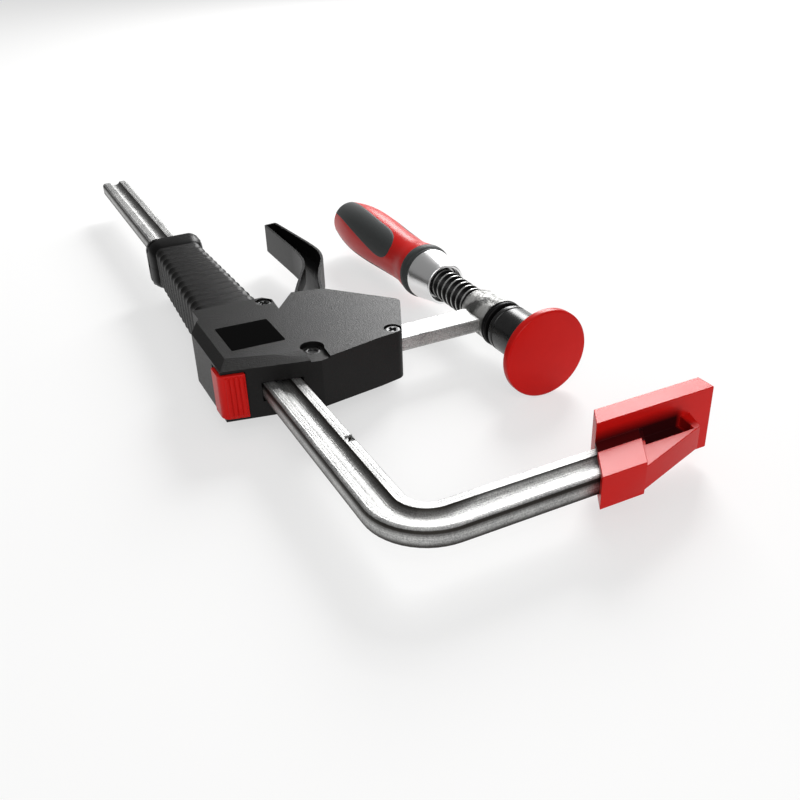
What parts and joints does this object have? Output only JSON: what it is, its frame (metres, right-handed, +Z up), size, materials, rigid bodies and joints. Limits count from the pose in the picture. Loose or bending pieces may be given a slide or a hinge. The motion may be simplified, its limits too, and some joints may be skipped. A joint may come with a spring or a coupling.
{
  "type": "quick release bar clamp",
  "caption": "One-handed bar clamp: carriage with squeeze lever, brake plate and release button on a bent rail, with a swivel-pad spindle and a capped fixed jaw.",
  "frame": {"origin": "on the fixed jaw's clamping face, where the spindle axis meets it", "axes": "+Y from the fixed jaw along the spindle to the handle, parallel to the rail; +X from the rail across the spindle; +Z up through the shared middle plane as the clamp lies on its side"},
  "size_m": [0.1558, 0.439, 0.0396],
  "materials": {
    "galvanised_steel": "bright galvanised, lightly brushed",
    "black_plastic": "fine spark-eroded texture",
    "red_plastic": "smooth, slightly glossy",
    "soft_grey": "soft and dull",
    "black_steel": "black oxide, oiled",
    "chrome": "polished",
    "spring_steel": "hardened, plain",
    "liner_plastic": "natural nylon"
  },
  "bodies": {
    "rail": {"rail_bar": "galvanised_steel", "jaw_cap": "red_plastic"},
    "carriage": {"upper_shell": "black_plastic", "lower_shell": "black_plastic", "sliding_arm": "galvanised_steel", "boss_ring": "black_plastic", "lever_pin": "spring_steel", "brake_anchor": "black_steel", "shell_screws": "black_steel", "drive_spring": "spring_steel", "brake_spring": "spring_steel"},
    "lever": {"lever": "black_plastic"},
    "drive": {"drive_plates": "spring_steel"},
    "button": {"release_button": "red_plastic"},
    "brake": {"brake_plate": "spring_steel"},
    "thrust": {"thrust_pin": "spring_steel"},
    "spindle": {"spindle_screw": "black_steel", "handle_core": "red_plastic", "handle_inlays": "soft_grey", "handle_ring": "soft_grey", "ferrule": "chrome"},
    "liner": {"swivel_liner": "liner_plastic"},
    "pad": {"swivel_socket": "black_steel", "pad_cap": "red_plastic"}
  },
  "joints": [
    {"name": "carriage_slide", "type": "slide", "parent": "rail", "child": "carriage", "axis": [0, 1, 0], "range_m": [-0.038, 0.14]},
    {"name": "lever_squeeze", "type": "hinge", "parent": "carriage", "child": "lever", "pos_m": [-0.1225, 0.1255, 0], "axis": [0, 0, 1], "range_deg": [0, 14], "stiffness_Nm_per_rad": 0.5, "springref_deg": -5.73},
    {"name": "drive_slide", "type": "slide", "parent": "carriage", "child": "drive", "axis": [0, 1, 0], "range_m": [0, 0.0036], "deforming": ["drive_spring"]},
    {"name": "button_press", "type": "slide", "parent": "carriage", "child": "button", "axis": [0, 1, 0], "range_m": [0, 0.0024], "stiffness_N_per_m": 300, "springref_m": -0.003},
    {"name": "brake_tilt", "type": "hinge", "parent": "carriage", "child": "brake", "pos_m": [-0.092, 0.0986, 0], "axis": [0, 0, 1], "range_deg": [-4.01, 0], "deforming": ["brake_spring"]},
    {"name": "spindle_feed", "type": "slide", "parent": "carriage", "child": "thrust", "axis": [0, -1, 0], "range_m": [0, 0.0225]},
    {"name": "spindle_turn", "type": "hinge", "parent": "thrust", "child": "spindle", "pos_m": [0, 0.08, 0], "axis": [0, -1, 0], "range_deg": [0, 1800]},
    {"name": "liner_tilt", "type": "hinge", "parent": "thrust", "child": "liner", "pos_m": [0, 0.08, 0], "axis": [1, 0, 0], "range_deg": [-8, 8]},
    {"name": "pad_tilt", "type": "hinge", "parent": "liner", "child": "pad", "pos_m": [0, 0.08, 0], "axis": [0, 0, 1], "range_deg": [-8, 8]}
  ],
  "couplings": [
    {"joint": "drive_slide", "follows": "lever_squeeze", "m_per_rad": 0.0145},
    {"joint": "brake_tilt", "follows": "button_press", "rad_per_m": -29.09},
    {"joint": "spindle_turn", "follows": "spindle_feed", "rad_per_m": 1396.3}
  ]
}
